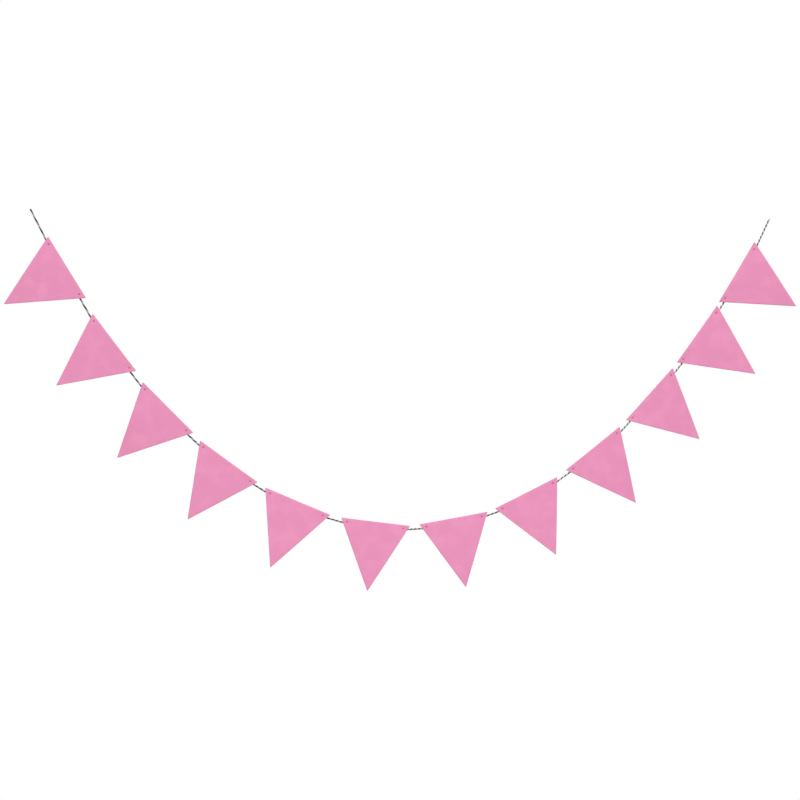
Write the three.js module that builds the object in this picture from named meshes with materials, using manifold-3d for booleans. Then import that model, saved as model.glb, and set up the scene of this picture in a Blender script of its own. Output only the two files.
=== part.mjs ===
// Fabric bunting: twelve felt pennants on one length of two-ply twine, hanging from the
// twine's two ends in a long curve. Each pennant has a punched hole near either top corner,
// and the twine runs straight behind the pennant, a little under its holes.
//
// Millimetres. +X runs to the right, +Y away from the viewer and +Z up. The origin is the
// twine's left end, on the middle of the twine.

import * as THREE from 'three';
import { mergeVertices } from 'three/addons/utils/BufferGeometryUtils.js';
import Module from 'manifold-3d';

const wasm = await Module();
wasm.setup();

// Twine
const TWINE_DIAMETER = 3.4;
const TWINE_SIDES = 8;
const TWINE_STEPS = 160;
const RIGHT_END = { gap: 72.5, climb: 62.8 };

// Felt
const FELT_THICKNESS = 2;
const FELT_TO_TWINE = 0.4;
const HOLE_DIAMETER = 3.6;
const HOLE_IN_FROM_CORNER = 14;
const HOLE_BELOW_TOP = 7.5;
const CORNER_BLUNT = 2;
const CURVE_SEGMENTS = 6;

// The bent sheet that each outline is cut from
const SHEET_COLUMNS = 10;
const SHEET_ROWS = 10;
const SHEET_MARGIN = 6;
const CUTTER_DEPTH = 60;

// One row for each pennant, from left to right.
// gap: from the last hole to this pennant's left hole
// climb: how steeply that stretch rises to the right, in degrees
// tilt: how steeply the pennant's top edge rises to the right, in degrees
// underLeft, underRight: how far under its two holes the twine runs
// width, height: the cut triangle
// lean: how far its point lies to the right of its middle
// bow: how far the middle of the top edge stands forward of the twine
// curl: how far the point bends back
// twist: how far the right half of the lower sheet turns back, and the left half forward
const PENNANTS = [
  {
    gap: 81.2, climb: -63.1, tilt: -59.3, underLeft: 1.2, underRight: 4.0,
    width: 149.4, height: 154.6, lean: -2.0, bow: 1.4, curl: 6.5, twist: 3.0,
  },
  {
    gap: 63.6, climb: -62.7, tilt: -53.6, underLeft: 2.1, underRight: 4.5,
    width: 150.2, height: 153.8, lean: 0.0, bow: 2.2, curl: 4.5, twist: -2.5,
  },
  {
    gap: 55.7, climb: -54.7, tilt: -45.9, underLeft: 2.7, underRight: 4.7,
    width: 150.9, height: 154.2, lean: 1.2, bow: 1.0, curl: 7.5, twist: 4.0,
  },
  {
    gap: 50.6, climb: -44.9, tilt: -36.8, underLeft: 3.5, underRight: 2.6,
    width: 151.1, height: 153.7, lean: 3.4, bow: 1.8, curl: 5.5, twist: -1.5,
  },
  {
    gap: 49.3, climb: -32.0, tilt: -23.6, underLeft: 3.0, underRight: 2.9,
    width: 151.0, height: 156.3, lean: 2.8, bow: 2.6, curl: 4.0, twist: 2.0,
  },
  {
    gap: 54.1, climb: -15.1, tilt: -7.5, underLeft: 4.7, underRight: 3.5,
    width: 149.0, height: 153.5, lean: 2.1, bow: 1.2, curl: 8.0, twist: -3.5,
  },
  {
    gap: 50.3, climb: 4.3, tilt: 10.0, underLeft: 4.5, underRight: 3.4,
    width: 149.7, height: 155.3, lean: 1.2, bow: 2.0, curl: 6.0, twist: 1.5,
  },
  {
    gap: 47.6, climb: 20.0, tilt: 26.6, underLeft: 4.1, underRight: 3.7,
    width: 150.7, height: 152.9, lean: -1.5, bow: 1.5, curl: 5.0, twist: -4.5,
  },
  {
    gap: 53.2, climb: 35.4, tilt: 38.8, underLeft: 3.4, underRight: 5.0,
    width: 149.6, height: 155.5, lean: 0.2, bow: 2.4, curl: 7.0, twist: 3.5,
  },
  {
    gap: 48.6, climb: 44.3, tilt: 48.2, underLeft: 2.0, underRight: 4.3,
    width: 151.0, height: 151.0, lean: 1.4, bow: 0.9, curl: 5.5, twist: -2.0,
  },
  {
    gap: 43.5, climb: 51.9, tilt: 54.8, underLeft: 4.3, underRight: 3.5,
    width: 150.1, height: 157.7, lean: 4.5, bow: 1.7, curl: 4.0, twist: 2.5,
  },
  {
    gap: 36.8, climb: 59.0, tilt: 59.6, underLeft: 3.5, underRight: 3.3,
    width: 149.7, height: 153.0, lean: 3.7, bow: 2.1, curl: 4.5, twist: -3.0,
  },
];

// Materials
const feltPink = new THREE.MeshStandardMaterial({ color: '#ea94bb', roughness: 0.95, metalness: 0 });
const twineGrey = new THREE.MeshStandardMaterial({ color: '#8c8a88', roughness: 0.85, metalness: 0 });

// Walking along the garland
function step(from, length, degrees) {
  const angle = THREE.MathUtils.degToRad(degrees);
  return from.clone().add(new THREE.Vector3(length * Math.cos(angle), 0, length * Math.sin(angle)));
}

function holeSpan(pennant) {
  return pennant.width - 2 * HOLE_IN_FROM_CORNER;
}

// The middles of every pennant's left and right hole
function holePlaces() {
  const holes = [];
  let last = new THREE.Vector3(0, 0, 0);
  for (const pennant of PENNANTS) {
    const left = step(last, pennant.gap, pennant.climb);
    const right = step(left, holeSpan(pennant), pennant.tilt);
    holes.push({ left, right });
    last = right;
  }
  return holes;
}

// The twine's turning points: its left end, a place under each hole and its right end
function twineRoute(holes) {
  const route = [new THREE.Vector3(0, 0, 0)];
  PENNANTS.forEach((pennant, i) => {
    const downward = pennant.tilt - 90;
    route.push(step(holes[i].left, pennant.underLeft, downward));
    route.push(step(holes[i].right, pennant.underRight, downward));
  });
  route.push(step(holes.at(-1).right, RIGHT_END.gap, RIGHT_END.climb));
  return route;
}

// Solids
function toSolid(geometry) {
  geometry.deleteAttribute('normal');
  geometry.deleteAttribute('uv');
  const merged = mergeVertices(geometry);
  const mesh = new wasm.Mesh({
    numProp: 3,
    vertProperties: new Float32Array(merged.attributes.position.array),
    triVerts: new Uint32Array(merged.index.array),
  });
  return new wasm.Manifold(mesh);
}

function toGeometry(solid) {
  const mesh = solid.getMesh();
  const geometry = new THREE.BufferGeometry();
  geometry.setAttribute('position', new THREE.BufferAttribute(mesh.vertProperties, 3));
  geometry.setIndex(new THREE.BufferAttribute(mesh.triVerts, 1));
  geometry.computeVertexNormals();
  return geometry;
}

// A pennant in its own frame: X along the line through its holes, from the left hole, and Z up
function pennantCorners(pennant) {
  const middle = holeSpan(pennant) / 2;
  return [
    new THREE.Vector2(middle - pennant.width / 2, HOLE_BELOW_TOP),
    new THREE.Vector2(middle + pennant.lean, HOLE_BELOW_TOP - pennant.height),
    new THREE.Vector2(middle + pennant.width / 2, HOLE_BELOW_TOP),
  ];
}

// A triangle whose corners are rounded off a little, with the two punched holes
function pennantOutline(pennant) {
  const corners = pennantCorners(pennant);
  const outline = new THREE.Shape();
  corners.forEach((corner, i) => {
    const before = corners.at(i - 1);
    const after = corners[(i + 1) % corners.length];
    const start = corner.clone().lerp(before, CORNER_BLUNT / corner.distanceTo(before));
    const end = corner.clone().lerp(after, CORNER_BLUNT / corner.distanceTo(after));
    if (i === 0) {
      outline.moveTo(start.x, start.y);
    } else {
      outline.lineTo(start.x, start.y);
    }
    outline.quadraticCurveTo(corner.x, corner.y, end.x, end.y);
  });
  outline.closePath();
  for (const holeX of [0, holeSpan(pennant)]) {
    outline.holes.push(new THREE.Path().absarc(holeX, 0, HOLE_DIAMETER / 2, 0, 2 * Math.PI, true));
  }
  return outline;
}

function outlineCutter(pennant) {
  const cutter = new THREE.ExtrudeGeometry(pennantOutline(pennant), {
    depth: CUTTER_DEPTH,
    bevelEnabled: false,
    curveSegments: CURVE_SEGMENTS,
  });
  cutter.rotateX(Math.PI / 2);
  cutter.translate(0, CUTTER_DEPTH / 2, 0);
  return cutter;
}

// How far back the hanging felt stands from its flat place, at across from -1 to 1 over the
// top edge and down from 0 at the top edge to 1 at the point
function bend(pennant, across, down) {
  const bow = -pennant.bow * (1 - across * across) * (1 - down);
  const curl = pennant.curl * down * down;
  const twist = pennant.twist * across * down * down;
  return bow + curl + twist;
}

function bentSheet(pennant) {
  const sheet = new THREE.BoxGeometry(
    pennant.width + 2 * SHEET_MARGIN,
    FELT_THICKNESS,
    pennant.height + 2 * SHEET_MARGIN,
    SHEET_COLUMNS,
    1,
    SHEET_ROWS,
  );
  const middleX = holeSpan(pennant) / 2;
  const middleZ = HOLE_BELOW_TOP - pennant.height / 2;
  const flatY = -(TWINE_DIAMETER + FELT_THICKNESS) / 2 - FELT_TO_TWINE;
  sheet.translate(middleX, flatY, middleZ);
  const position = sheet.attributes.position;
  for (let i = 0; i < position.count; i++) {
    const across = (position.getX(i) - middleX) / (pennant.width / 2);
    const down = (HOLE_BELOW_TOP - position.getZ(i)) / pennant.height;
    position.setY(i, position.getY(i) + bend(pennant, across, down));
  }
  return sheet;
}

function makePennant(pennant, leftHole, name) {
  const solid = toSolid(bentSheet(pennant)).intersect(toSolid(outlineCutter(pennant)));
  const mesh = new THREE.Mesh(toGeometry(solid), feltPink.clone());
  mesh.name = name;
  mesh.position.copy(leftHole);
  mesh.rotation.y = -THREE.MathUtils.degToRad(pennant.tilt);
  return mesh;
}

function makeTwine(route) {
  const line = new THREE.CurvePath();
  for (let i = 1; i < route.length; i++) {
    line.add(new THREE.LineCurve3(route[i - 1], route[i]));
  }
  const section = new THREE.Shape();
  for (let side = 0; side < TWINE_SIDES; side++) {
    const angle = (2 * Math.PI * side) / TWINE_SIDES;
    const x = (TWINE_DIAMETER / 2) * Math.cos(angle);
    const y = (TWINE_DIAMETER / 2) * Math.sin(angle);
    if (side === 0) {
      section.moveTo(x, y);
    } else {
      section.lineTo(x, y);
    }
  }
  section.closePath();
  const geometry = new THREE.ExtrudeGeometry(section, { steps: TWINE_STEPS, extrudePath: line });
  const mesh = new THREE.Mesh(geometry, twineGrey);
  mesh.name = 'twine';
  return mesh;
}

// The whole bunting
const bunting = new THREE.Group();
const holes = holePlaces();
bunting.add(makeTwine(twineRoute(holes)));
PENNANTS.forEach((pennant, i) => {
  const name = `pennant_${String(i + 1).padStart(2, '0')}`;
  bunting.add(makePennant(pennant, holes[i].left, name));
});

export default bunting;
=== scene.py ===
"""Fabric bunting: pink felt pennants with cut edges and punched holes, tacked with thread to
one two-ply twine that hangs from its two ends.

Metres, in the row frame: +X right, +Y away from the viewer, +Z up, and the origin at the
twine's left end. MM turns the maker's millimetres into metres.
"""

import math
import random
from collections import namedtuple

import bpy
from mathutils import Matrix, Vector, noise
from mathutils.geometry import delaunay_2d_cdt


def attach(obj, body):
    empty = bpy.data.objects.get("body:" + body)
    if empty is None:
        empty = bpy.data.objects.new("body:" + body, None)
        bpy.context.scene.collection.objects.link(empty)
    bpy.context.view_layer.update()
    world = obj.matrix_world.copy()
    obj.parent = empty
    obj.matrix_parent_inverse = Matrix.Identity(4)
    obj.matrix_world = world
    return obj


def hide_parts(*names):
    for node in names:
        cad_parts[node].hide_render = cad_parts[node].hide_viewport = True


MM = 0.001
BACK = Vector((0, 1, 0))

# Camera, at the photograph's viewing angle, in metres and degrees
CAMERA_PLACE = (0.574, -3.179, -0.16126)
CAMERA_TURN_RIGHT = 3.58
CAMERA_TURN_DOWN = 4.34
CAMERA_FIELD = 30.0

# Light and floor. The floor's edges are its left, right, front and back.
GLOW = 0.22
GARLAND_MIDDLE = Vector((0.785, 0, -0.45))
SOFTBOX_SIZE = (12.0, 4.5)
SOFTBOX_OUT = 7.5
SOFTBOX_HEIGHT = 7.4
SOFTBOX_ENERGY = 1500
FLOOR_COLOUR = (0.7, 0.7, 0.7, 1)
FLOOR_EDGES = (-0.9, 2.5, -0.9, 0.42)
FLOOR_HEIGHT = -1.5

# Twine
TWINE_DIAMETER = 3.4 * MM
RIGHT_END_GAP = 72.5 * MM
RIGHT_END_CLIMB = 62.8

# Felt
FELT_THICKNESS = 2.0 * MM
FELT_TO_TWINE = 0.4 * MM
HOLE_RADIUS = 1.8 * MM
HOLE_IN_FROM_CORNER = 14.0 * MM
HOLE_BELOW_TOP = 7.5 * MM
CORNER_BLUNT = 2.0 * MM

# One row for each pennant, from left to right, in millimetres and degrees. gap and climb are
# the length and rise of the stretch from the last hole to its left one, tilt the rise of its
# top edge, lean how far its point lies right of its middle, bow how far its top stands
# forward, curl how far its point bends back, twist how far its right half turns back, and
# under_left and under_right how far under its two holes the twine runs.
Pennant = namedtuple(
    "Pennant", "gap climb tilt width height lean bow curl twist under_left under_right"
)
PENNANTS = [
    Pennant(81.2, -63.1, -59.3, 149.4, 154.6, -2.0, 1.4, 6.5, 3.0, 1.2, 4.0),
    Pennant(63.6, -62.7, -53.6, 150.2, 153.8, 0.0, 2.2, 4.5, -2.5, 2.1, 4.5),
    Pennant(55.7, -54.7, -45.9, 150.9, 154.2, 1.2, 1.0, 7.5, 4.0, 2.7, 4.7),
    Pennant(50.6, -44.9, -36.8, 151.1, 153.7, 3.4, 1.8, 5.5, -1.5, 3.5, 2.6),
    Pennant(49.3, -32.0, -23.6, 151.0, 156.3, 2.8, 2.6, 4.0, 2.0, 3.0, 2.9),
    Pennant(54.1, -15.1, -7.5, 149.0, 153.5, 2.1, 1.2, 8.0, -3.5, 4.7, 3.5),
    Pennant(50.3, 4.3, 10.0, 149.7, 155.3, 1.2, 2.0, 6.0, 1.5, 4.5, 3.4),
    Pennant(47.6, 20.0, 26.6, 150.7, 152.9, -1.5, 1.5, 5.0, -4.5, 4.1, 3.7),
    Pennant(53.2, 35.4, 38.8, 149.6, 155.5, 0.2, 2.4, 7.0, 3.5, 3.4, 5.0),
    Pennant(48.6, 44.3, 48.2, 151.0, 151.0, 1.4, 0.9, 5.5, -2.0, 2.0, 4.3),
    Pennant(43.5, 51.9, 54.8, 150.1, 157.7, 4.5, 1.7, 4.0, 2.5, 4.3, 3.5),
    Pennant(36.8, 59.0, 59.6, 149.7, 153.0, 3.7, 2.1, 4.5, -3.0, 3.5, 3.3),
]

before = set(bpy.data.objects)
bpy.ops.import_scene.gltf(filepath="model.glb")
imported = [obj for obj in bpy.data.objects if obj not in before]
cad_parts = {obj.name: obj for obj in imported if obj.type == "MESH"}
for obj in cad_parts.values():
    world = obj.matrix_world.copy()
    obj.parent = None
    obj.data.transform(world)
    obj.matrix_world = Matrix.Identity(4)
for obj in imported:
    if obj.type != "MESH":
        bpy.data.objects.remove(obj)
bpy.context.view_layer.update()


# Route of the twine
def step(start, length, degrees):
    angle = math.radians(degrees)
    return start + Vector((length * math.cos(angle), 0, length * math.sin(angle)))


def hole_span(pennant):
    return pennant.width * MM - 2 * HOLE_IN_FROM_CORNER


def hole_places():
    """The middles of every pennant's left and right hole."""
    places = []
    last = Vector((0, 0, 0))
    for pennant in PENNANTS:
        left_hole = step(last, pennant.gap * MM, pennant.climb)
        last = step(left_hole, hole_span(pennant), pennant.tilt)
        places.append((left_hole, last))
    return places


def twine_route():
    """The twine's turning points: left end, a place under each hole, right end."""
    route = [Vector((0, 0, 0))]
    for pennant, (left_hole, right_hole) in zip(PENNANTS, HOLES):
        downward = pennant.tilt - 90
        route.append(step(left_hole, pennant.under_left * MM, downward))
        route.append(step(right_hole, pennant.under_right * MM, downward))
    route.append(step(HOLES[-1][1], RIGHT_END_GAP, RIGHT_END_CLIMB))
    return route


HOLES = hole_places()
ROUTE = twine_route()
TWINE_LENGTH = sum((b - a).length for a, b in zip(ROUTE, ROUTE[1:]))


# Node helpers
class Nodes:
    """A material's node tree, with short calls that add a node and link its sockets."""

    def __init__(self, name):
        self.material = bpy.data.materials.new(name)
        self.material.use_nodes = True
        self.tree = self.material.node_tree
        self.shader = self.tree.nodes["Principled BSDF"]

    def feed(self, socket, value):
        """Link another node's output to a socket, or give the socket a constant."""
        if isinstance(value, bpy.types.NodeSocket):
            self.tree.links.new(value, socket)
        else:
            socket.default_value = value

    def set(self, node, inputs):
        for name, value in inputs.items():
            self.feed(node.inputs[name], value)

    def add(self, kind, inputs, **settings):
        node = self.tree.nodes.new(kind)
        for name, value in settings.items():
            setattr(node, name, value)
        self.set(node, inputs)
        return node

    def place(self):
        """Where on the object a point lies, in metres."""
        return self.add("ShaderNodeTexCoord", {}).outputs["Object"]

    def noise(self, vector, per_metre, detail=2.0, roughness=0.5):
        inputs = {
            "Vector": vector,
            "Scale": per_metre,
            "Detail": detail,
            "Roughness": roughness,
        }
        return self.add("ShaderNodeTexNoise", inputs).outputs["Fac"]

    def span(self, value, low, high, to_low=0.0, to_high=1.0):
        """A value between low and high, stretched to lie between two others."""
        inputs = {
            "Value": value,
            "From Min": low,
            "From Max": high,
            "To Min": to_low,
            "To Max": to_high,
        }
        return self.add("ShaderNodeMapRange", inputs).outputs["Result"]

    def mix(self, share, first, second):
        """The first colour with a share of the second. A mix node keeps its colour sockets
        at the inputs 6 and 7 and the output 2."""
        inputs = {0: share, 6: first, 7: second}
        return self.add("ShaderNodeMix", inputs, data_type="RGBA").outputs[2]

    def math(self, operation, *values):
        inputs = dict(enumerate(values))
        return self.add("ShaderNodeMath", inputs, operation=operation).outputs["Value"]

    def bump(self, height, distance, strength):
        inputs = {"Height": height, "Distance": distance, "Strength": strength}
        return self.add("ShaderNodeBump", inputs).outputs["Normal"]


# Camera, light and floor
def make_camera():
    camera = bpy.data.objects.new("camera", bpy.data.cameras.new("camera"))
    camera.location = CAMERA_PLACE
    camera.rotation_euler = (
        math.radians(90 - CAMERA_TURN_DOWN),
        0,
        -math.radians(CAMERA_TURN_RIGHT),
    )
    camera.data.angle = math.radians(CAMERA_FIELD)
    bpy.context.scene.collection.objects.link(camera)
    bpy.context.scene.camera = camera


def make_studio():
    """White as the camera sees it, with a soft glow on the object from all round."""
    world = bpy.data.worlds.new("studio")
    bpy.context.scene.world = world
    world.use_nodes = True
    nodes = world.node_tree.nodes
    links = world.node_tree.links
    glow = nodes["Background"]
    glow.inputs["Color"].default_value = (1, 1, 1, 1)
    glow.inputs["Strength"].default_value = GLOW
    white = nodes.new("ShaderNodeBackground")
    white.inputs["Color"].default_value = (1, 1, 1, 1)
    path = nodes.new("ShaderNodeLightPath")
    mix = nodes.new("ShaderNodeMixShader")
    links.new(path.outputs["Is Camera Ray"], mix.inputs["Fac"])
    links.new(glow.outputs["Background"], mix.inputs[1])
    links.new(white.outputs["Background"], mix.inputs[2])
    links.new(mix.outputs["Shader"], nodes["World Output"].inputs["Surface"])


def make_softbox(name, side):
    """A wide softbox high in front of the garland, on side -1, or behind it, on side 1."""
    softbox = bpy.data.lights.new(name, "AREA")
    softbox.shape = "RECTANGLE"
    softbox.size, softbox.size_y = SOFTBOX_SIZE
    softbox.energy = SOFTBOX_ENERGY
    lamp = bpy.data.objects.new(name, softbox)
    lamp.location = Vector((GARLAND_MIDDLE.x, side * SOFTBOX_OUT, SOFTBOX_HEIGHT))
    toward = GARLAND_MIDDLE - lamp.location
    lamp.rotation_euler = toward.to_track_quat("-Z", "Y").to_euler()
    lamp.visible_camera = False
    bpy.context.scene.collection.objects.link(lamp)


def make_light():
    bpy.context.scene.view_settings.view_transform = "Standard"
    make_studio()
    make_softbox("softbox_front", -1)
    make_softbox("softbox_back", 1)


def make_floor():
    """A pale floor under the garland that ends just below the camera's view."""
    nodes = Nodes("floor")
    nodes.set(nodes.shader, {"Base Color": FLOOR_COLOUR, "Roughness": 0.8})
    mesh = bpy.data.meshes.new("floor")
    left, right, front, back = FLOOR_EDGES
    corners = [(left, front), (right, front), (right, back), (left, back)]
    mesh.from_pydata([(x, y, FLOOR_HEIGHT) for x, y in corners], [], [(0, 1, 2, 3)])
    mesh.materials.append(nodes.material)
    floor = bpy.data.objects.new("floor", mesh)
    bpy.context.scene.collection.objects.link(floor)


# Felt material. PER_METRE says how fine a noise is, NOISE which part of its range counts, and
# SHARE how much of a colour it brings in at either end of that part.
FELT_LIGHT = (0.86, 0.33, 0.53, 1)
FELT_MID = (0.80, 0.285, 0.48, 1)
FELT_DARK = (0.68, 0.22, 0.39, 1)
FELT_EVENNESS = 0.6
FELT_FIBRE_SIZE = (1.8 * MM, 0.5 * MM, 0.22 * MM)
FELT_FIBRE_TURNS = (0.3, 1.1, 1.9, 2.7)
FELT_FIBRE_NOISE = (0.5, 0.78)
FELT_FIBRE_SHARE = (0.2, 0.8)
FELT_SWIRL = 3.0 * MM
FELT_SWIRLS_PER_METRE = 260
FELT_CLOUDS_PER_METRE = 28
FELT_CLOUD_NOISE = (0.35, 0.65)
FELT_CLOUD_SHARE = (-0.2, 0.45)
FELT_LUMPS_PER_METRE = 330
FELT_LUMP_HEIGHT = 1.2
FELT_FUZZ_PER_METRE = 5200
FELT_FUZZ_HEIGHT = 0.35
FELT_RELIEF = 0.065 * MM
# Painted shade on the felt's rims: how sharply it falls off inward from a rim, and how much of
# FELT_DARK it brings in there.
RIM_SHADE_SHARPNESS = 6.0
RIM_SHADE_SHARE = 0.6


def felt_fibres(nodes, place, turn):
    """Fine wavy fibres that run one way over the pennant's face."""
    mapping = nodes.add(
        "ShaderNodeMapping",
        {"Vector": place, "Rotation": (0, turn, 0), "Scale": FELT_FIBRE_SIZE},
        vector_type="TEXTURE",
    )
    return nodes.noise(mapping.outputs["Vector"], 1.0)


def felt_material():
    """Pressed felt: fibres matted in every direction, faint clouds of tone, and painted shade
    that darkens the rims of the cut edge and of the holes."""
    nodes = Nodes("felt_pink")
    place = nodes.place()
    swirl = nodes.add("ShaderNodeTexNoise", {"Vector": place, "Scale": FELT_SWIRLS_PER_METRE})
    swirled = nodes.add(
        "ShaderNodeVectorMath",
        {0: swirl.outputs["Color"], 1: (FELT_SWIRL,) * 3, 2: place},
        operation="MULTIPLY_ADD",
    ).outputs["Vector"]
    matted = felt_fibres(nodes, swirled, FELT_FIBRE_TURNS[0])
    for turn in FELT_FIBRE_TURNS[1:]:
        matted = nodes.math("MAXIMUM", matted, felt_fibres(nodes, swirled, turn))
    fibres = nodes.span(matted, *FELT_FIBRE_NOISE)
    clouds = nodes.noise(place, FELT_CLOUDS_PER_METRE, detail=3)
    lumps = nodes.noise(place, FELT_LUMPS_PER_METRE, detail=4, roughness=0.6)
    fuzz = nodes.noise(place, FELT_FUZZ_PER_METRE)
    cut = nodes.add("ShaderNodeAttribute", {}, attribute_name="cut_edge").outputs["Fac"]
    rim = nodes.math("POWER", cut, RIM_SHADE_SHARPNESS)

    tone = nodes.mix(nodes.span(fibres, 0.0, 1.0, *FELT_FIBRE_SHARE), FELT_DARK, FELT_LIGHT)
    tone = nodes.mix(FELT_EVENNESS, tone, FELT_MID)
    cloudy = nodes.span(clouds, *FELT_CLOUD_NOISE, *FELT_CLOUD_SHARE)
    tone = nodes.mix(cloudy, tone, FELT_LIGHT)
    # Painted shade: the rims of the cut edge and of the holes are darkened towards FELT_DARK.
    tone = nodes.mix(nodes.math("MULTIPLY", rim, RIM_SHADE_SHARE), tone, FELT_DARK)
    height = nodes.math("MULTIPLY_ADD", lumps, FELT_LUMP_HEIGHT, fibres)
    height = nodes.math("MULTIPLY_ADD", fuzz, FELT_FUZZ_HEIGHT, height)
    nodes.set(
        nodes.shader,
        {
            "Base Color": tone,
            "Roughness": 0.95,
            "Specular IOR Level": 0.15,
            "Sheen Weight": 0.07,
            "Sheen Roughness": 0.55,
            "Sheen Tint": (1.0, 0.82, 0.9, 1),
            "Normal": nodes.bump(height, FELT_RELIEF, strength=0.75),
        },
    )
    return nodes.material


# Twine material. A ply's colours are given at the left end, at the right end and in the darkest
# stretch: the twine runs darker towards its left end and darkest round PLY_DARKEST_AT. The places
# along the twine are in metres to the right of its left end.
BLACK_PLY = ((0.008, 0.008, 0.008, 1), (0.13, 0.129, 0.127, 1), (0.008, 0.008, 0.008, 1))
BLACK_FLECK = (0.03, 0.029, 0.028, 1)
WHITE_PLY = ((0.44, 0.437, 0.432, 1), (0.87, 0.865, 0.855, 1), (0.24, 0.238, 0.235, 1))
WHITE_FLECK = (0.36, 0.357, 0.352, 1)
PLY_TURNS_LIGHTER = (0.95, 1.2)
PLY_LIGHTER_SPAN = (0.4, 1.6)
PLY_DARKEST_AT = 0.5
PLY_DARK_REACH = 0.26
PLY_DARK_SHARE = 0.9
PLY_MARL_PER_METRE = 9
PLY_FLECKS_PER_METRE = 900
PLY_FLECK_NOISE = (0.3, 0.8)
PLY_FLECK_SHARE = (0.0, 0.35)
PLY_FLECK_HEIGHT = 0.4
PLY_YARN_WAVE = (0.1, 0.6)
PLY_RELIEF = 0.12 * MM


def ply_material(name, colours, fleck):
    """One cotton ply: fine yarns that run slantwise along it, with flecks between them."""
    nodes = Nodes(name)
    place = nodes.place()
    along = nodes.add("ShaderNodeUVMap", {}, uv_map="ply").outputs["UV"]
    yarns = nodes.add(
        "ShaderNodeTexWave",
        {"Vector": along, "Scale": 1.0, "Distortion": 0.6, "Detail": 2.0},
        bands_direction="DIAGONAL",
    ).outputs["Fac"]
    flecks = nodes.noise(place, PLY_FLECKS_PER_METRE, detail=5, roughness=0.7)
    marl = nodes.noise(place, PLY_MARL_PER_METRE, detail=1)
    right = nodes.add("ShaderNodeSeparateXYZ", {"Vector": place}).outputs["X"]
    from_darkest = nodes.math("ABSOLUTE", nodes.math("SUBTRACT", right, PLY_DARKEST_AT))
    darker = nodes.span(from_darkest, 0.0, PLY_DARK_REACH, PLY_DARK_SHARE, 0.0)
    lighter = nodes.math("ADD", nodes.span(right, *PLY_TURNS_LIGHTER), marl)

    at_left, at_right, darkest = colours
    colour = nodes.mix(nodes.span(lighter, *PLY_LIGHTER_SPAN), at_left, at_right)
    colour = nodes.mix(darker, colour, darkest)
    tone = nodes.mix(nodes.span(yarns, *PLY_YARN_WAVE), fleck, colour)
    tone = nodes.mix(nodes.span(flecks, *PLY_FLECK_NOISE, *PLY_FLECK_SHARE), tone, fleck)
    height = nodes.math("MULTIPLY_ADD", flecks, PLY_FLECK_HEIGHT, yarns)
    nodes.set(
        nodes.shader,
        {
            "Base Color": tone,
            "Roughness": 0.85,
            "Specular IOR Level": 0.2,
            "Sheen Weight": 0.08,
            "Sheen Roughness": 0.5,
            "Normal": nodes.bump(height, PLY_RELIEF, strength=0.9),
        },
    )
    return nodes.material


# Thread material
THREAD_PINK = (0.60, 0.21, 0.353, 1)
THREAD_SHADE = 0.7
THREAD_HAIRS_PER_METRE = 2600
THREAD_HAIR_NOISE = (0.35, 0.65)
THREAD_RELIEF = 0.06 * MM


def thread_material():
    nodes = Nodes("tack_thread")
    hairs = nodes.noise(nodes.place(), THREAD_HAIRS_PER_METRE, detail=3, roughness=0.6)
    darker = tuple(THREAD_SHADE * part for part in THREAD_PINK[:3]) + (1,)
    nodes.set(
        nodes.shader,
        {
            "Base Color": nodes.mix(nodes.span(hairs, *THREAD_HAIR_NOISE), darker, THREAD_PINK),
            "Roughness": 0.7,
            "Specular IOR Level": 0.3,
            "Normal": nodes.bump(hairs, THREAD_RELIEF, strength=0.8),
        },
    )
    return nodes.material


# Mesh helpers. No thread or hair runs along UNALIGNED.
UNALIGNED = Vector((0.31, 0.17, 0.93))


class Parts:
    """The points and polygons of a piece that is made of many separate closed parts."""

    def __init__(self):
        self.points = []
        self.polygons = []

    def add(self, points, polygons):
        start = len(self.points)
        self.points += points
        self.polygons += [tuple(index + start for index in polygon) for polygon in polygons]


def add_piece(name, points, polygons, materials):
    mesh = bpy.data.meshes.new(name)
    mesh.from_pydata(points, [], polygons)
    for material in materials:
        mesh.materials.append(material)
    mesh.shade_smooth()
    piece = bpy.data.objects.new(name, mesh)
    bpy.context.scene.collection.objects.link(piece)
    return piece


def ring_points(centre, along, radius, sides):
    """Points round a centre, square to the direction along."""
    side = along.cross(UNALIGNED).normalized()
    other = along.cross(side)
    points = []
    for k in range(sides):
        angle = 2 * math.pi * k / sides
        points.append(centre + (side * math.cos(angle) + other * math.sin(angle)) * radius)
    return points


def tube_walls(rings, sides, closed=False):
    """Polygons between the neighbouring rings of a tube, whose points are numbered from 0."""
    polygons = []
    for i in range(rings if closed else rings - 1):
        a = i * sides
        b = (i + 1) % rings * sides
        for k in range(sides):
            n = (k + 1) % sides
            polygons.append((a + k, a + n, b + n, b + k))
    return polygons


# Pennant's own frame: from its left hole, x to the right beside its top edge, y back and z up
def pennant_directions(pennant):
    """Along the top edge to the right, and up from it."""
    tilt = math.radians(pennant.tilt)
    right = Vector((math.cos(tilt), 0, math.sin(tilt)))
    return right, Vector((-right.z, 0, right.x))


def placer(pennant, left_hole):
    """A function that turns x, y and z in the pennant's frame into a point."""
    right, up = pennant_directions(pennant)
    return lambda x, y, z: left_hole + right * x + up * z + BACK * y


def holes_of(pennant):
    """(how far right of the left hole, how far above the twine) for both holes."""
    return (0.0, pennant.under_left * MM), (hole_span(pennant), pennant.under_right * MM)


def corner_points(pennant):
    middle = hole_span(pennant) / 2
    half = pennant.width * MM / 2
    return [
        Vector((middle - half, HOLE_BELOW_TOP)),
        Vector((middle + pennant.lean * MM, HOLE_BELOW_TOP - pennant.height * MM)),
        Vector((middle + half, HOLE_BELOW_TOP)),
    ]


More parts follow.
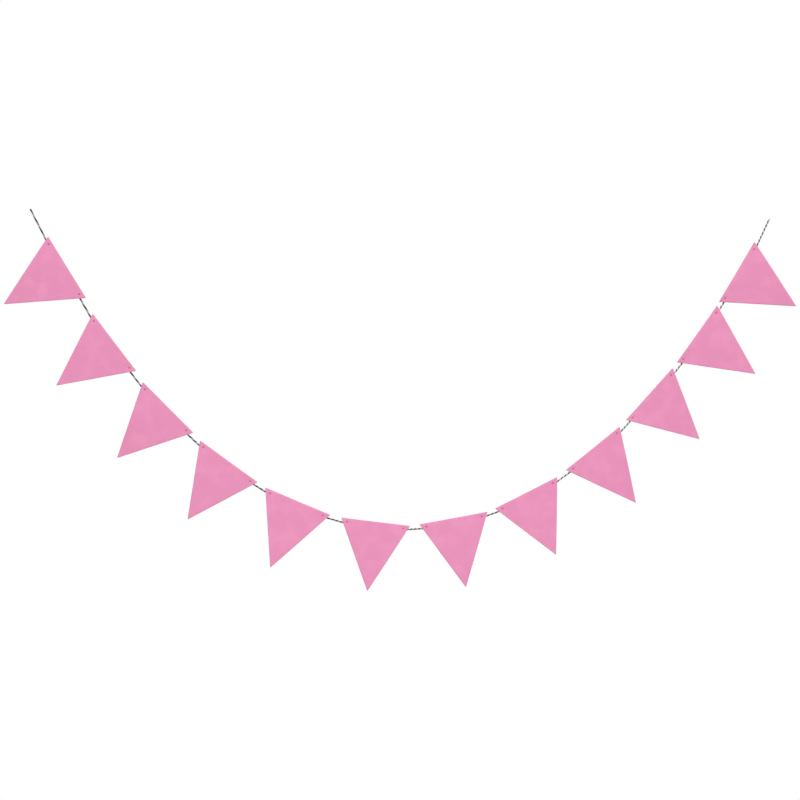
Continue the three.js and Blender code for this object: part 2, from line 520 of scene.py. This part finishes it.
# How the hung sheet is bent. LAYERS values keep the noise of two pennants or holes apart.
SHEET_MIDDLE = -(TWINE_DIAMETER / 2 + FELT_TO_TWINE + FELT_THICKNESS / 2)
RIPPLE = 0.5 * MM
RIPPLE_SIZE = 45 * MM
RIPPLE_FADE = 40 * MM
RIPPLE_LAYERS = 3.7
TACK_PRESS = 0.38 * MM
TACK_REACH = 6.0 * MM


def wander(x, z, size, layer):
    """Smooth noise from -1 to 1 over a flat sheet."""
    return noise.noise(Vector((x / size, z / size, layer)))


def bend(pennant, x, z):
    """How far back the hanging felt stands from its flat place."""
    middle = hole_span(pennant) / 2
    across = (x - middle) / (pennant.width * MM / 2)
    down = (HOLE_BELOW_TOP - z) / (pennant.height * MM)
    bow = -pennant.bow * MM * (1 - across * across) * (1 - down)
    curl = pennant.curl * MM * down * down
    twist = pennant.twist * MM * across * down * down
    return bow + curl + twist


def ripple(x, z, seed):
    """Slight waviness of the sheet, fading out along the top where the twine holds it."""
    free = min(1.0, max(0.0, (HOLE_BELOW_TOP - z) / RIPPLE_FADE))
    return RIPPLE * free * wander(x, z, RIPPLE_SIZE, seed * RIPPLE_LAYERS)


def press(pennant, x, z):
    """The tacks pull the felt back against the twine just under each hole."""
    pull = 0.0
    for hole_x, under in holes_of(pennant):
        distance = math.hypot(x - hole_x, z + under)
        pull += TACK_PRESS * math.exp(-((distance / TACK_REACH) ** 2))
    return pull


def sheet_y(pennant, x, z, seed):
    """How far back the middle of the felt's thickness lies."""
    return SHEET_MIDDLE + bend(pennant, x, z) + ripple(x, z, seed) + press(pennant, x, z)


# Cut sheet. HOLE_RINGS are rings of points round each hole, and the even grid starts past
# HOLE_RINGS_REACH, all in radii of the hole.
GRID = 3.4 * MM
GRID_SCATTER = 0.12
EDGE_STEP = 2.6 * MM
EDGE_MARGIN = 1.7 * MM
CORNER_STEPS = (0.0, 0.25, 0.5, 0.75)
CUT_WOBBLE = 0.16 * MM
CUT_WOBBLE_SIZE = 5 * MM
CUT_LAYERS = 1.9
HOLE_POINTS = 22
HOLE_WOBBLE = 0.06
HOLE_WOBBLE_SIZE = 0.5
HOLE_LAYERS = 50
HOLE_RINGS = (1.55, 2.3, 3.4)
HOLE_RING_POINTS = 18
HOLE_RINGS_REACH = 4.4
FACE_LUMP = 0.06 * MM
FACE_LUMP_SIZE = 2.2 * MM
SAME_POINT = 1e-7

# How the cut edge rounds over: inward from the cut, in millimetres, and depth from the front
# face (-1) to the back face (1)
RIM = [
    (0.32, -1.0),
    (0.08, -0.88),
    (0.0, -0.5),
    (0.03, 0.0),
    (0.0, 0.5),
    (0.08, 0.88),
    (0.32, 1.0),
]


def cut_outline(pennant, seed):
    """(point, outward direction) round the cut triangle, anticlockwise from the front."""
    corners = corner_points(pennant)
    outline = []
    for i, corner in enumerate(corners):
        before = corners[i - 1]
        after = corners[(i + 1) % len(corners)]
        start = corner.lerp(before, CORNER_BLUNT / (corner - before).length)
        end = corner.lerp(after, CORNER_BLUNT / (corner - after).length)
        for t in CORNER_STEPS:
            outline.append(start.lerp(corner, t).lerp(corner.lerp(end, t), t))
        stop = after.lerp(corner, CORNER_BLUNT / (corner - after).length)
        count = max(2, round((stop - end).length / EDGE_STEP))
        outline += [end.lerp(stop, k / count) for k in range(count)]
    placed = []
    for i, point in enumerate(outline):
        along = outline[(i + 1) % len(outline)] - outline[i - 1]
        outward = Vector((along.y, -along.x)).normalized()
        wobble = wander(point.x, point.y, CUT_WOBBLE_SIZE, seed * CUT_LAYERS)
        placed.append((point + outward * CUT_WOBBLE * wobble, outward))
    return placed


def hole_outline(centre_x, seed):
    """(point, direction into the hole) round a punched hole, clockwise from the front."""
    placed = []
    for k in range(HOLE_POINTS):
        angle = -2 * math.pi * k / HOLE_POINTS
        out = Vector((math.cos(angle), math.sin(angle)))
        wobble = wander(out.x, out.y, HOLE_WOBBLE_SIZE, seed + centre_x * HOLE_LAYERS)
        reach = HOLE_RADIUS * (1 + HOLE_WOBBLE * wobble)
        placed.append((Vector((centre_x, 0)) + out * reach, -out))
    return placed


def inside(point, corners, margin):
    for a, b in zip(corners, corners[1:] + corners[:1]):
        edge = b - a
        if edge.x * (point.y - a.y) - edge.y * (point.x - a.x) < margin * edge.length:
            return False
    return True


def in_polygon(point, polygon):
    hit = False
    for a, b in zip(polygon, polygon[1:] + polygon[:1]):
        if (a.y > point.y) != (b.y > point.y):
            if point.x < a.x + (point.y - a.y) / (b.y - a.y) * (b.x - a.x):
                hit = not hit
    return hit


def inner_points(pennant, seed):
    """Points over the face: a slightly scattered triangular grid, closer round each hole."""
    rng = random.Random(seed)
    corners = corner_points(pennant)
    holes = [Vector((0, 0)), Vector((hole_span(pennant), 0))]
    points = []
    for centre in holes:
        for number, reach in enumerate(HOLE_RINGS):
            half_step = 0.5 if number > 0 else 0.0
            for k in range(HOLE_RING_POINTS):
                angle = 2 * math.pi * (k + half_step) / HOLE_RING_POINTS
                out = Vector((math.cos(angle), math.sin(angle)))
                points.append(centre + out * HOLE_RADIUS * reach)
    row_step = GRID * math.sqrt(3) / 2
    lowest = corners[1].y
    rows = int((HOLE_BELOW_TOP - lowest) / row_step)
    columns = int(pennant.width * MM / GRID) + 2
    for row in range(rows):
        for column in range(columns):
            x = corners[0].x + (column + 0.5 * (row % 2)) * GRID
            spot = Vector((x, lowest + row * row_step))
            spot += Vector((rng.uniform(-1, 1), rng.uniform(-1, 1))) * GRID * GRID_SCATTER
            if all((spot - centre).length > HOLE_RINGS_REACH * HOLE_RADIUS for centre in holes):
                points.append(spot)
    return [point for point in points if inside(point, corners, EDGE_MARGIN)]


def flat_face(pennant, loops, seed):
    """A face laid flat: its points, with those of the loops round its cut edges first, where
    each loop starts among them, and its triangles, anticlockwise from the front."""
    inset = RIM[0][0] * MM
    flat = []
    edges = []
    starts = []
    rims = []
    for loop in loops:
        start = len(flat)
        count = len(loop)
        starts.append(start)
        edges += [(start + k, start + (k + 1) % count) for k in range(count)]
        rims.append([point - outward * inset for point, outward in loop])
        flat += rims[-1]
    flat += inner_points(pennant, seed)
    cut, *holes = rims
    spots, _, faces, sources = delaunay_2d_cdt(flat, edges, [], 0, SAME_POINT)[:4]
    triangles = []
    for face in faces:
        middle = sum((spots[i] for i in face), Vector((0, 0))) / 3
        if in_polygon(middle, cut) and not any(in_polygon(middle, hole) for hole in holes):
            a, b, c = (sources[i][0] for i in face)
            turn = (flat[b] - flat[a]).cross(flat[c] - flat[a])
            triangles.append((a, b, c) if turn > 0 else (a, c, b))
    return flat, starts, triangles


def felt_mesh(pennant, left_hole, seed):
    """A closed sheet: front face, back face and a rounded rim round the cut and both holes.
    Its marks are 1 at the points of a rim and 0 at the others, and the felt material paints shade on
    the rims by them."""
    loops = [cut_outline(pennant, seed)]
    loops += [hole_outline(hole_x, seed) for hole_x, _ in holes_of(pennant)]
    flat, starts, triangles = flat_face(pennant, loops, seed)
    place = placer(pennant, left_hole)

    def placed(spot, depth):
        x, z = spot
        lump = FACE_LUMP * wander(x, z, FACE_LUMP_SIZE, depth + seed)
        return place(x, sheet_y(pennant, x, z, seed) + depth * FELT_THICKNESS / 2 + lump, z)

    points = [placed(spot, -1) for spot in flat]
    points += [placed(spot, 1) for spot in flat]
    back = len(flat)
    polygons = triangles + [(c + back, b + back, a + back) for a, b, c in triangles]
    rim_count = sum(len(loop) for loop in loops)
    marks = 2 * ([1.0] * rim_count + [0.0] * (back - rim_count))
    for loop, start in zip(loops, starts):
        count = len(loop)
        rings = [range(start, start + count)]
        for inward, depth in RIM[1:-1]:
            rings.append(range(len(points), len(points) + count))
            points += [placed(point - outward * inward * MM, depth) for point, outward in loop]
            marks += [1.0] * count
        rings.append(range(back + start, back + start + count))
        for ring, after in zip(rings, rings[1:]):
            for k in range(count):
                n = (k + 1) % count
                polygons.append((ring[k], after[k], after[n], ring[n]))
    return points, polygons, marks


# Hairs, on the felt's cut edge and on the twine
HAIR_RADIUS = 0.035 * MM
HAIR_TAPER = 0.6
HAIR_SIDES = 3
HAIR_STEPS = 4
HAIR_WANDER = 0.3
EDGE_HAIR_SEED = 500
EDGE_HAIR_SPACING = 1.1 * MM
EDGE_HAIR_ROOT = 0.15 * MM
EDGE_HAIR_SPREAD = 0.9
EDGE_HAIR_SPLAY = 0.6
EDGE_HAIR_LENGTH = (0.35, 1.1)


def hair(root, heading, length, rng):
    """A closed three-sided hair that leaves root in a heading, wanders and thins out."""
    points = []
    spot = root.copy()
    for i in range(HAIR_STEPS + 1):
        radius = HAIR_RADIUS * (1 - HAIR_TAPER * i / HAIR_STEPS)
        points += ring_points(spot, heading, radius, HAIR_SIDES)
        turn = Vector([rng.gauss(0, HAIR_WANDER) for _ in range(3)])
        heading = (heading + turn).normalized()
        spot = spot + heading * length / HAIR_STEPS
    polygons = tube_walls(HAIR_STEPS + 1, HAIR_SIDES)
    last = HAIR_STEPS * HAIR_SIDES
    polygons += [(2, 1, 0), (last, last + 1, last + 2)]
    return points, polygons


def edge_hairs(pennant, left_hole, seed):
    """Short hairs of felt that stand out of the cut edge."""
    rng = random.Random(EDGE_HAIR_SEED + seed)
    right, up = pennant_directions(pennant)
    place = placer(pennant, left_hole)
    outline = cut_outline(pennant, seed)
    hairs = Parts()
    for (spot, outward), (after, _) in zip(outline, outline[1:] + outline[:1]):
        for _ in range(max(1, round((after - spot).length / EDGE_HAIR_SPACING))):
            x, z = spot.lerp(after, rng.random()) - outward * EDGE_HAIR_ROOT
            y = sheet_y(pennant, x, z, seed)
            y += rng.uniform(-EDGE_HAIR_SPREAD, EDGE_HAIR_SPREAD) * FELT_THICKNESS / 2
            heading = right * outward.x + up * outward.y
            heading += Vector([rng.gauss(0, EDGE_HAIR_SPLAY) for _ in range(3)])
            length = rng.uniform(*EDGE_HAIR_LENGTH) * MM
            hairs.add(*hair(place(x, y, z), heading.normalized(), length, rng))
    return hairs.points, hairs.polygons


# Tacks: at each hole, two loops of thread round the twine, and a knot that fills the hole. A
# knot's turns are narrow loops that cross, proud of the felt in the middle and sunk in it at
# their ends, over two rings.
TACK_SEED = 100
THREAD_SIDES = 6
LOOP_STEPS = 30
LOOP_THREAD = 0.24 * MM
LOOP_SQUARE = 0.55
LOOP_OFFSETS = (-0.45 * MM, 0.45 * MM)
LOOP_LEAN = 0.3 * MM
LOOP_TOP = 0.3 * HOLE_RADIUS
KNOT_THREAD = 0.42 * MM
KNOT_RADIUS = 1.65 * MM
KNOT_TURNS = 7
KNOT_UNEVEN_TURN = 0.15
KNOT_UNEVEN_LEVEL = 0.15 * MM
KNOT_ASIDE = 0.2
KNOT_NARROW = 0.3
KNOT_PROUD = 0.05 * MM
KNOT_CROWN = 0.6 * MM
KNOT_CROSSING = 0.6 * KNOT_THREAD
KNOT_RING_RADII = (0.576 * MM, 1.584 * MM)
KNOT_RING_DEPTH = 0.8 * MM


def thread_tube(line, radius):
    """A closed tube round a closed line."""
    points = []
    for i, spot in enumerate(line):
        along = (line[(i + 1) % len(line)] - line[i - 1]).normalized()
        points += ring_points(spot, along, radius, THREAD_SIDES)
    return points, tube_walls(len(line), THREAD_SIDES, closed=True)


def loop_angles():
    return [2 * math.pi * i / LOOP_STEPS for i in range(LOOP_STEPS)]


def squared(value):
    """A sine or cosine that keeps near its ends for longer, for a loop with rounded corners."""
    return math.copysign(abs(value) ** LOOP_SQUARE, value)


def loop_line(x, lean, low, high, front, behind):
    """One loop in the pennant's frame: through the hole and round the twine behind it."""
    line = []
    for angle in loop_angles():
        rise = squared(math.sin(angle))
        deep = squared(math.cos(angle))
        y = (front + behind) / 2 + (behind - front) / 2 * deep
        z = (low + high) / 2 + (high - low) / 2 * rise
        line.append(Vector((x + lean * rise, y, z)))
    return line


def loop_lines(hole_x, under, back_face, rng):
    """Both loops at one hole, round the twine that runs a little under it."""
    low = -under - TWINE_DIAMETER / 2 - LOOP_THREAD
    high = max(low + TWINE_DIAMETER + 2 * LOOP_THREAD, LOOP_TOP)
    behind = TWINE_DIAMETER / 2 + LOOP_THREAD
    lines = []
    for offset in LOOP_OFFSETS:
        lean = rng.uniform(-LOOP_LEAN, LOOP_LEAN)
        lines.append(loop_line(hole_x + offset, lean, low, high, back_face, behind))
    return lines


def knot_turn(hole_x, front, turn, aside, level):
    """One narrow loop of the knot, turned in the plane of the felt."""
    line = []
    for angle in loop_angles():
        u = KNOT_RADIUS * math.cos(angle)
        v = KNOT_RADIUS * (KNOT_NARROW * math.sin(angle) + aside)
        crown = KNOT_PROUD - KNOT_CROWN * (u * u + v * v) / KNOT_RADIUS**2
        crown += KNOT_CROSSING * math.sin(angle) + level
        x = hole_x + u * math.cos(turn) - v * math.sin(turn)
        z = u * math.sin(turn) + v * math.cos(turn)
        line.append(Vector((x, front - crown, z)))
    return line


def knot_lines(hole_x, front, rng):
    """The turns of the knot at one hole, and the rings under them."""
    lines = []
    for k in range(KNOT_TURNS):
        turn = math.pi * k / KNOT_TURNS + rng.uniform(-KNOT_UNEVEN_TURN, KNOT_UNEVEN_TURN)
        aside = KNOT_ASIDE * (-1) ** k
        level = rng.uniform(-KNOT_UNEVEN_LEVEL, KNOT_UNEVEN_LEVEL)
        lines.append(knot_turn(hole_x, front, turn, aside, level))
    for radius in KNOT_RING_RADII:
        ring = []
        for angle in loop_angles():
            x = hole_x + radius * math.cos(angle)
            ring.append(Vector((x, front + KNOT_RING_DEPTH, radius * math.sin(angle))))
        lines.append(ring)
    return lines


def tack_mesh(pennant, left_hole, seed):
    rng = random.Random(TACK_SEED + seed)
    place = placer(pennant, left_hole)
    tacks = Parts()
    for hole_x, under in holes_of(pennant):
        back_face = press(pennant, hole_x, -under) + bend(pennant, hole_x, -under)
        back_face -= TWINE_DIAMETER / 2 + FELT_TO_TWINE
        front_face = back_face - FELT_THICKNESS
        loops = loop_lines(hole_x, under, back_face, rng)
        knot = knot_lines(hole_x, front_face, rng)
        for lines, radius in ((loops, LOOP_THREAD), (knot, KNOT_THREAD)):
            for line in lines:
                tacks.add(*thread_tube([place(*spot) for spot in line], radius))
    return tacks.points, tacks.polygons


# Plies of the twine. Towards the cut left end its twist is looser, over LOOSE_REACH.
TWIST_PITCH = 8.8 * MM
STEPS_PER_TURN = 14
FIRST_BLACK = 1.5 * MM
SOFT_TURN = 5.0 * MM
UNEVEN_TWIST = 0.1
UNEVEN_TWIST_LENGTH = 50 * MM
UNEVEN_TWIST_LAYER = 4.2
LOOSE_REACH = 520 * MM
LOOSE_PITCH = 15.0 * MM
LOOSE_SWELL = 0.06
PLY_SIDES = 12
PLY_OUT = 0.94
PLY_WIDE = 1.8
PLY_SWELL = 0.07
PLY_SWELL_LENGTH = 20 * MM
PLY_SWELL_LAYERS = 9.1
PLY_SWELL_START = 2.0
STRANDS = 3
STRAND_PITCH = 11 * MM
STRAND_RIDGE = 0.07


def route_point(distance):
    for a, b in zip(ROUTE, ROUTE[1:]):
        length = (b - a).length
        if distance <= length:
            return a.lerp(b, distance / length)
        distance -= length
    return ROUTE[-1].copy()


def twine_line(count):
    """Evenly spaced points along the twine, with each turn at a pennant rounded off."""
    line = []
    for i in range(count + 1):
        distance = TWINE_LENGTH * i / count
        reach = min(SOFT_TURN, distance, TWINE_LENGTH - distance)
        samples = [route_point(distance + reach * k / 2) for k in (-2, -1, 0, 1, 2)]
        line.append(sum(samples, Vector((0, 0, 0))) / len(samples))
    return line


def looseness(distance):
    """1 at the left end, where the cut twine has untwisted a little, and 0 far from it."""
    return math.exp(-((distance / LOOSE_REACH) ** 2))


def twist_angles(count):
    """How far the plies have turned round each other at each point of the twine's line."""
    angle = -math.pi / 2 - 2 * math.pi * FIRST_BLACK / (TWIST_PITCH + LOOSE_PITCH)
    angles = []
    spacing = TWINE_LENGTH / (count - 1)
    for i in range(count):
        angles.append(angle)
        place = Vector((i * spacing / UNEVEN_TWIST_LENGTH, UNEVEN_TWIST_LAYER, 0))
        uneven = 1 + UNEVEN_TWIST * noise.noise(place)
        pitch = TWIST_PITCH + LOOSE_PITCH * looseness(i * spacing)
        angle += 2 * math.pi * spacing / pitch * uneven
    return angles


def direction_at(line, i):
    return (line[min(i + 1, len(line) - 1)] - line[max(i - 1, 0)]).normalized()


def ply_outward(along, angle):
    """The way from the middle of the twine to the ply that has turned by an angle."""
    return along.cross(BACK) * math.cos(angle) + BACK * math.sin(angle)


def ply_swell(distance):
    return 1 + LOOSE_SWELL * looseness(distance)


def ply_ring(spot, along, angle, radius, strand_turn):
    """One ring of a ply: wide where it lies against the other one, and ridged by strands."""
    outward = ply_outward(along, angle)
    sideways = along.cross(outward)
    centre = spot + outward * radius * PLY_OUT
    points = []
    for k in range(PLY_SIDES):
        turn = 2 * math.pi * k / PLY_SIDES
        ridge = 1 + STRAND_RIDGE * math.cos(STRANDS * (turn - strand_turn))
        out = math.cos(turn) * ridge
        side = math.sin(turn) * ridge * PLY_WIDE
        points.append(centre + (outward * out + sideways * side) * radius)
    return points


def twine_mesh(line):
    """Two plies laid round each other, with which ply each polygon is on, and coordinates
    for the yarns: once round the ply, and along it in twine diameters."""
    plies = Parts()
    marks = []
    coordinates = []
    count = len(line)
    spacing = TWINE_LENGTH / (count - 1)
    angles = twist_angles(count)
    for ply in (0, 1):
        points = []
        for i, spot in enumerate(line):
            distance = i * spacing
            layer = PLY_SWELL_LAYERS * ply
            uneven = noise.noise(Vector((distance / PLY_SWELL_LENGTH, layer, PLY_SWELL_START)))
            swell = ply_swell(distance) + PLY_SWELL * uneven
            angle = angles[i] + math.pi * ply
            strand_turn = angle - 2 * math.pi * distance / STRAND_PITCH
            radius = TWINE_DIAMETER / 4 * swell
            points += ply_ring(spot, direction_at(line, i), angle, radius, strand_turn)
        walls = tube_walls(count, PLY_SIDES)
        first_end = tuple(reversed(range(PLY_SIDES)))
        last_end = tuple(range(len(points) - PLY_SIDES, len(points)))
        plies.add(points, walls + [first_end, last_end])
        marks += [ply] * (len(walls) + 2)
        for i in range(count - 1):
            low = i * spacing / TWINE_DIAMETER
            high = (i + 1) * spacing / TWINE_DIAMETER
            for k in range(PLY_SIDES):
                u = k / PLY_SIDES
                w = (k + 1) / PLY_SIDES
                coordinates += [(u, low), (w, low), (w, high), (u, high)]
        coordinates += [(0.5, 0.5)] * (2 * PLY_SIDES)
    return plies.points, plies.polygons, marks, coordinates


# Hairs of the twine: those that stand off along it, and a tuft at either cut end. Lengths are
# in millimetres, and a lean is how far a hair heads along the twine for each unit outward.
TWINE_HAIR_SEED = 7
HAIRS_ALONG = 1100
HAIRS_ALONG_PLACE = (0.01, 0.99)
HAIRS_ALONG_LENGTH = (0.8, 2.4)
HAIRS_ALONG_LEAN = 0.55
TUFT_HAIRS = 16
TUFT_LENGTH = (1.4, 3.2)
TUFT_LEAN = 1.6
TUFT_OUTWARD = 0.3
TUFT_ROOT = (0.1, 0.8)
TWINE_HAIR_ROOT = 0.8
TWINE_HAIR_SPREAD = 1.2

TwineHair = namedtuple("TwineHair", "place length lean")


def twine_hairs(rng):
    hairs = [
        TwineHair(rng.uniform(*HAIRS_ALONG_PLACE), rng.uniform(*HAIRS_ALONG_LENGTH), HAIRS_ALONG_LEAN)
        for _ in range(HAIRS_ALONG)
    ]
    for end, lean in ((0.0, -TUFT_LEAN), (1.0, TUFT_LEAN)):
        hairs += [TwineHair(end, rng.uniform(*TUFT_LENGTH), lean) for _ in range(TUFT_HAIRS)]
    return hairs


def twine_hair_mesh(line):
    """The twine's hairs, with which ply each of their polygons is on."""
    rng = random.Random(TWINE_HAIR_SEED)
    count = len(line)
    spacing = TWINE_LENGTH / (count - 1)
    angles = twist_angles(count)
    hairs = Parts()
    marks = []
    for place, length, lean in twine_hairs(rng):
        i = round(place * (count - 1))
        ply = rng.randrange(2)
        along = direction_at(line, i)
        outward = ply_outward(along, angles[i] + math.pi * ply)
        turn = rng.uniform(-TWINE_HAIR_SPREAD, TWINE_HAIR_SPREAD)
        heading = outward * math.cos(turn) + along.cross(outward) * math.sin(turn)
        root_in = rng.uniform(*TUFT_ROOT)
        in_tuft = place in (0.0, 1.0)
        radius = TWINE_DIAMETER / 4 * ply_swell(i * spacing)
        root = line[i] + outward * radius * PLY_OUT
        root += heading * radius * (TWINE_HAIR_ROOT - (root_in if in_tuft else 0.0))
        leaning = heading * (TUFT_OUTWARD if in_tuft else 1.0) + along * lean
        points, polygons = hair(root, leaning.normalized(), length * MM, rng)
        hairs.add(points, polygons)
        marks += [ply] * len(polygons)
    return hairs.points, hairs.polygons, marks


# The whole bunting
def make_twine():
    count = round(TWINE_LENGTH / TWIST_PITCH * STEPS_PER_TURN)
    line = twine_line(count)
    materials = [
        ply_material("twine_black", BLACK_PLY, BLACK_FLECK),
        ply_material("twine_white", WHITE_PLY, WHITE_FLECK),
    ]
    points, polygons, marks, coordinates = twine_mesh(line)
    plies = add_piece("twine_plies", points, polygons, materials)
    plies.data.polygons.foreach_set("material_index", marks)
    layer = plies.data.uv_layers.new(name="ply")
    layer.data.foreach_set("uv", [part for pair in coordinates for part in pair])
    points, polygons, marks = twine_hair_mesh(line)
    fibres = add_piece("twine_fibres", points, polygons, materials)
    fibres.data.polygons.foreach_set("material_index", marks)
    for piece in (plies, fibres):
        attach(piece, "root")
    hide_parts("twine")


def make_pennant(pennant, left_hole, seed, felt, thread):
    number = f"{seed:02d}"
    points, polygons, marks = felt_mesh(pennant, left_hole, seed)
    sheet = add_piece(f"felt_{number}", points, polygons, [felt])
    # The rim marks, which the felt material uses to paint shade on the rims.
    mark = sheet.data.attributes.new("cut_edge", "FLOAT", "POINT")
    mark.data.foreach_set("value", marks)
    tacks = add_piece(f"tacks_{number}", *tack_mesh(pennant, left_hole, seed), [thread])
    hairs = add_piece(f"hairs_{number}", *edge_hairs(pennant, left_hole, seed), [felt])
    for piece in (sheet, tacks, hairs):
        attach(piece, "root")
    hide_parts(f"pennant_{number}")


def make_pennants():
    felt = felt_material()
    thread = thread_material()
    for number, (pennant, (left_hole, _)) in enumerate(zip(PENNANTS, HOLES), 1):
        make_pennant(pennant, left_hole, number, felt, thread)


make_camera()
make_twine()
make_pennants()
make_light()
make_floor()
